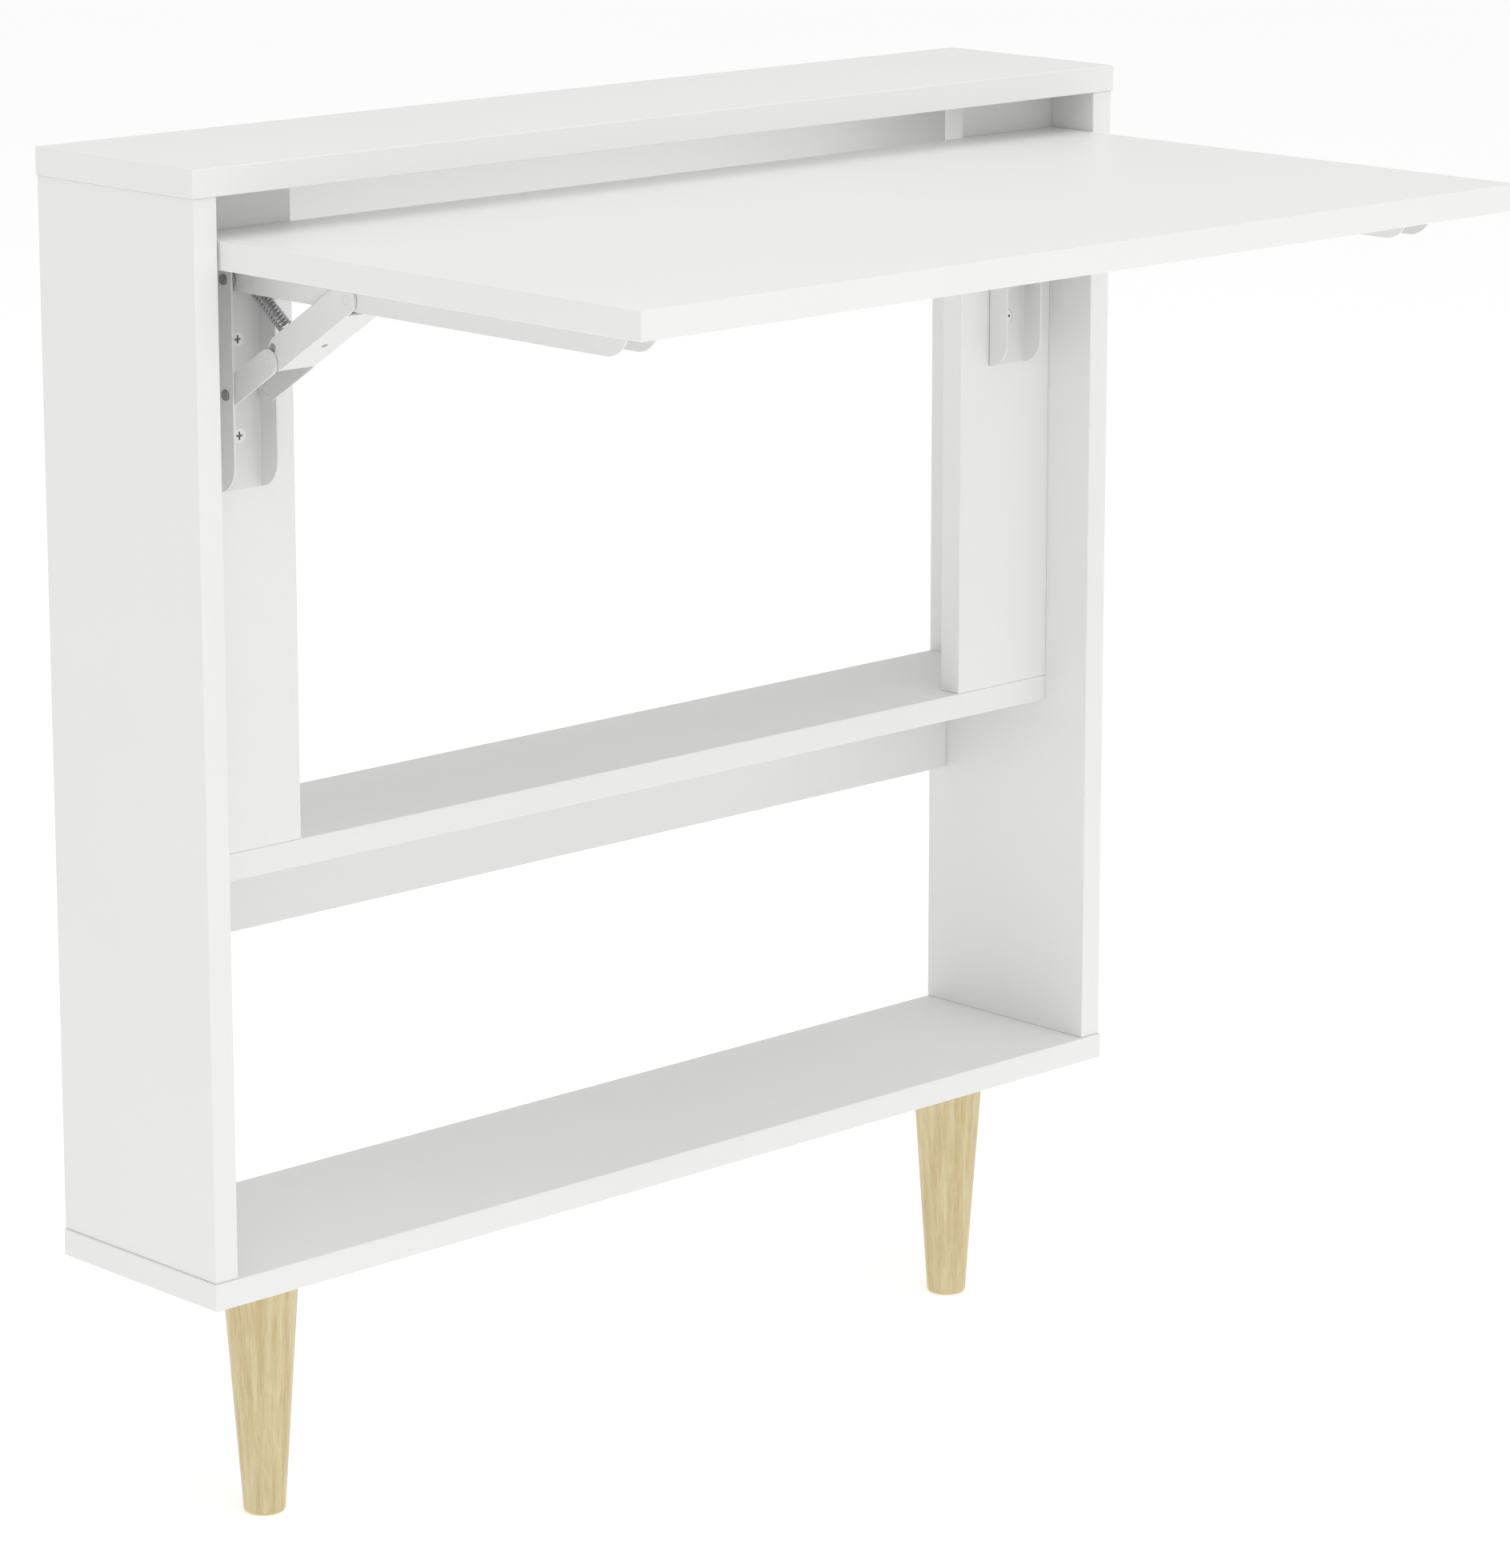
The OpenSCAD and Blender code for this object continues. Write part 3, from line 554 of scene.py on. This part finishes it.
class DESK_OT_springs(bpy.types.Operator):
    """Winds the extension spring of each bracket"""
    bl_idname = "desk.springs"
    bl_label = "Springs"

    def execute(self, context):
        settings = context.scene.desk_brackets
        wire_steel = plain_steel("oiled_spring_wire", "9C9C9E", "BABABC", 0.34, 0.4 * MM)
        hinge = joint_place("flap_fold")
        eye_room = 0.3 * MM
        for side in SIDES:
            node = side + "_spring"
            low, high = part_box(node)
            hook_r = 2 * settings.wire_d
            start = Vector(((low.x + high.x) / 2, hinge.y, hinge.z))
            end = Vector((start.x, low.y + hook_r + settings.wire_d / 2,
                          low.z + hook_r + settings.wire_d / 2))
            pin_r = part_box(side + "_hinge_pin")[1].z - hinge.z
            eye_r = pin_r + settings.wire_d / 2 + eye_room
            bm = self.wound_spring(start, end, eye_r, hook_r, settings)
            piece = new_piece(bm, node + "_wound", wire_steel)
            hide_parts(node)
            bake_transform(piece)
        return {"FINISHED"}

    def sweep_wire(self, bm, centre, axis, radius, wire_r, angle, steps, rise, first):
        """Sweeps the wire's round section about an axis while it climbs by rise; first points
        from the axis to where the wire starts"""
        side = Vector(first).normalized()
        along = Vector(axis).normalized()
        place = Matrix.Translation(centre + side * radius)
        turn = Matrix((side, along, side.cross(along))).transposed().to_4x4()
        ring = bmesh.ops.create_circle(bm, cap_ends=False, segments=WIRE_SIDES, radius=wire_r,
                                       matrix=place @ turn)
        # Each edge once, always in the same order
        loop = list(dict.fromkeys(e for v in ring["verts"] for e in v.link_edges))
        bmesh.ops.spin(bm, geom=ring["verts"] + loop, cent=centre, axis=along,
                       dvec=along * (rise / steps), angle=angle, steps=steps, use_merge=False)

    def wound_spring(self, start, end, eye_r, hook_r, settings):
        """Open-wound coils between an eye round the hinge pin and a hook on the link's lug"""
        wire_r = settings.wire_d / 2
        coil_r = settings.coil_d / 2 - wire_r
        run = (end - start).length
        along = (end - start).normalized()
        across = Vector((1, 0, 0))
        lead = 3.5 * MM
        steps_per_turn = 16
        eye_steps = 28
        hook_steps = 24
        coil_from = eye_r + lead
        coil_to = run - 2 * hook_r
        turns = settings.coil_turns
        bm = bmesh.new()
        self.sweep_wire(bm, start + along * coil_from, along, coil_r, wire_r,
                        2 * math.pi * turns, steps_per_turn * turns, coil_to - coil_from, across)
        lift = along.cross(across)
        self.sweep_wire(bm, start, across, eye_r, wire_r, 2 * math.pi, eye_steps, 0.0, along)
        self.sweep_wire(bm, end, lift, hook_r, wire_r, 2 * math.pi, hook_steps, 0.0, along)
        # Straight wire joins the coils to the eye and to the hook
        for at, length in ((eye_r, coil_from - eye_r), (coil_to, run - hook_r - coil_to)):
            middle = Matrix.Translation(start + along * (at + length / 2))
            turned = middle @ along.to_track_quat("Z", "Y").to_matrix().to_4x4()
            bmesh.ops.create_cone(bm, cap_ends=True, segments=WIRE_SIDES, radius1=wire_r,
                                  radius2=wire_r, depth=length + 2 * wire_r, matrix=turned)
        bmesh.ops.remove_doubles(bm, verts=bm.verts, dist=0.001 * MM)
        open_edges = [e for e in bm.edges if e.is_boundary]
        bmesh.ops.holes_fill(bm, edges=open_edges, sides=0)
        bmesh.ops.recalc_face_normals(bm, faces=bm.faces)
        return bm


class DESK_OT_stage(bpy.types.Operator):
    """Sets up the floor, the soft lights and the camera"""
    bl_idname = "desk.stage"
    bl_label = "Stage"

    def execute(self, context):
        settings = context.scene.desk_stage
        floor_reach = 30.0
        low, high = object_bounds()
        middle = (low + high) / 2
        bm = bmesh.new()
        bmesh.ops.create_grid(bm, x_segments=1, y_segments=1, size=floor_reach,
                              matrix=Matrix.Translation((middle.x, middle.y, low.z)))
        mesh = bpy.data.meshes.new("floor")
        bm.to_mesh(mesh)
        bm.free()
        mesh.materials.append(studio_floor(settings.floor_colour))
        floor = bpy.data.objects.new("floor", mesh)
        context.scene.collection.objects.link(floor)
        floor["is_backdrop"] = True
        self.light_room(context, middle)
        self.place_camera(context, settings)
        # Shows colours as they are, without a film curve
        context.scene.view_settings.view_transform = "Standard"
        return {"FINISHED"}

    def light_room(self, context, middle):
        """An even white room with a large soft light overhead and one in front, on the left"""
        world = bpy.data.worlds.new("white_room")
        world.use_nodes = True
        background = world.node_tree.nodes["Background"]
        background.inputs["Color"].default_value = (1.0, 1.0, 1.0, 1.0)
        background.inputs["Strength"].default_value = 0.66
        context.scene.world = world
        for name, offset, size, power in (
                ("overhead_softbox", Vector((-0.2, -0.9, 2.6)), 3.0, 34.0),
                ("front_softbox", Vector((-0.7, -2.8, 1.6)), 2.6, 4.0)):
            light = bpy.data.lights.new(name, "AREA")
            light.energy = power
            light.size = size
            lamp = bpy.data.objects.new(name, light)
            lamp.location = middle + offset
            lamp.rotation_euler = (-offset).to_track_quat("-Z", "Y").to_euler()
            context.scene.collection.objects.link(lamp)

    def place_camera(self, context, settings):
        """A long lens from the front left, about 1.2 m above the floor"""
        data = bpy.data.cameras.new("camera")
        data.lens = settings.camera_lens
        data.shift_y = settings.camera_shift
        data.dof.use_dof = False
        data.clip_end = 100.0
        camera = bpy.data.objects.new("camera", data)
        camera.location = settings.camera_at
        camera.rotation_euler = (math.pi / 2 - settings.camera_down, 0.0, -settings.camera_right)
        context.scene.collection.objects.link(camera)
        context.scene.camera = camera


class DESK_PT_panel(bpy.types.Panel):
    """Lists the desk's steps"""
    bl_idname = "DESK_PT_panel"
    bl_label = "Secretary desk"
    bl_space_type = "VIEW_3D"
    bl_region_type = "UI"
    bl_category = "Desk"

    def draw(self, context):
        for step in STEPS:
            self.layout.operator(step.bl_idname)


SETTINGS = {
    "desk_boards": DeskBoardSettings,
    "desk_brackets": DeskBracketSettings,
    "desk_legs": DeskLegSettings,
    "desk_stage": DeskStageSettings,
}
STEPS = (DESK_OT_stage, DESK_OT_boards, DESK_OT_dowels, DESK_OT_legs, DESK_OT_brackets,
         DESK_OT_springs)


def register():
    for group in SETTINGS.values():
        bpy.utils.register_class(group)
    for name, group in SETTINGS.items():
        setattr(bpy.types.Scene, name, PointerProperty(type=group))
    for step in STEPS + (DESK_PT_panel,):
        bpy.utils.register_class(step)


def unregister():
    for step in reversed(STEPS + (DESK_PT_panel,)):
        bpy.utils.unregister_class(step)
    for name in SETTINGS:
        delattr(bpy.types.Scene, name)
    for group in reversed(list(SETTINGS.values())):
        bpy.utils.unregister_class(group)


def main():
    register()
    bpy.ops.desk.stage()
    bpy.ops.desk.boards()
    bpy.ops.desk.dowels()
    bpy.ops.desk.legs()
    bpy.ops.desk.brackets()
    bpy.ops.desk.springs()


if __name__ == "__main__":
    main()
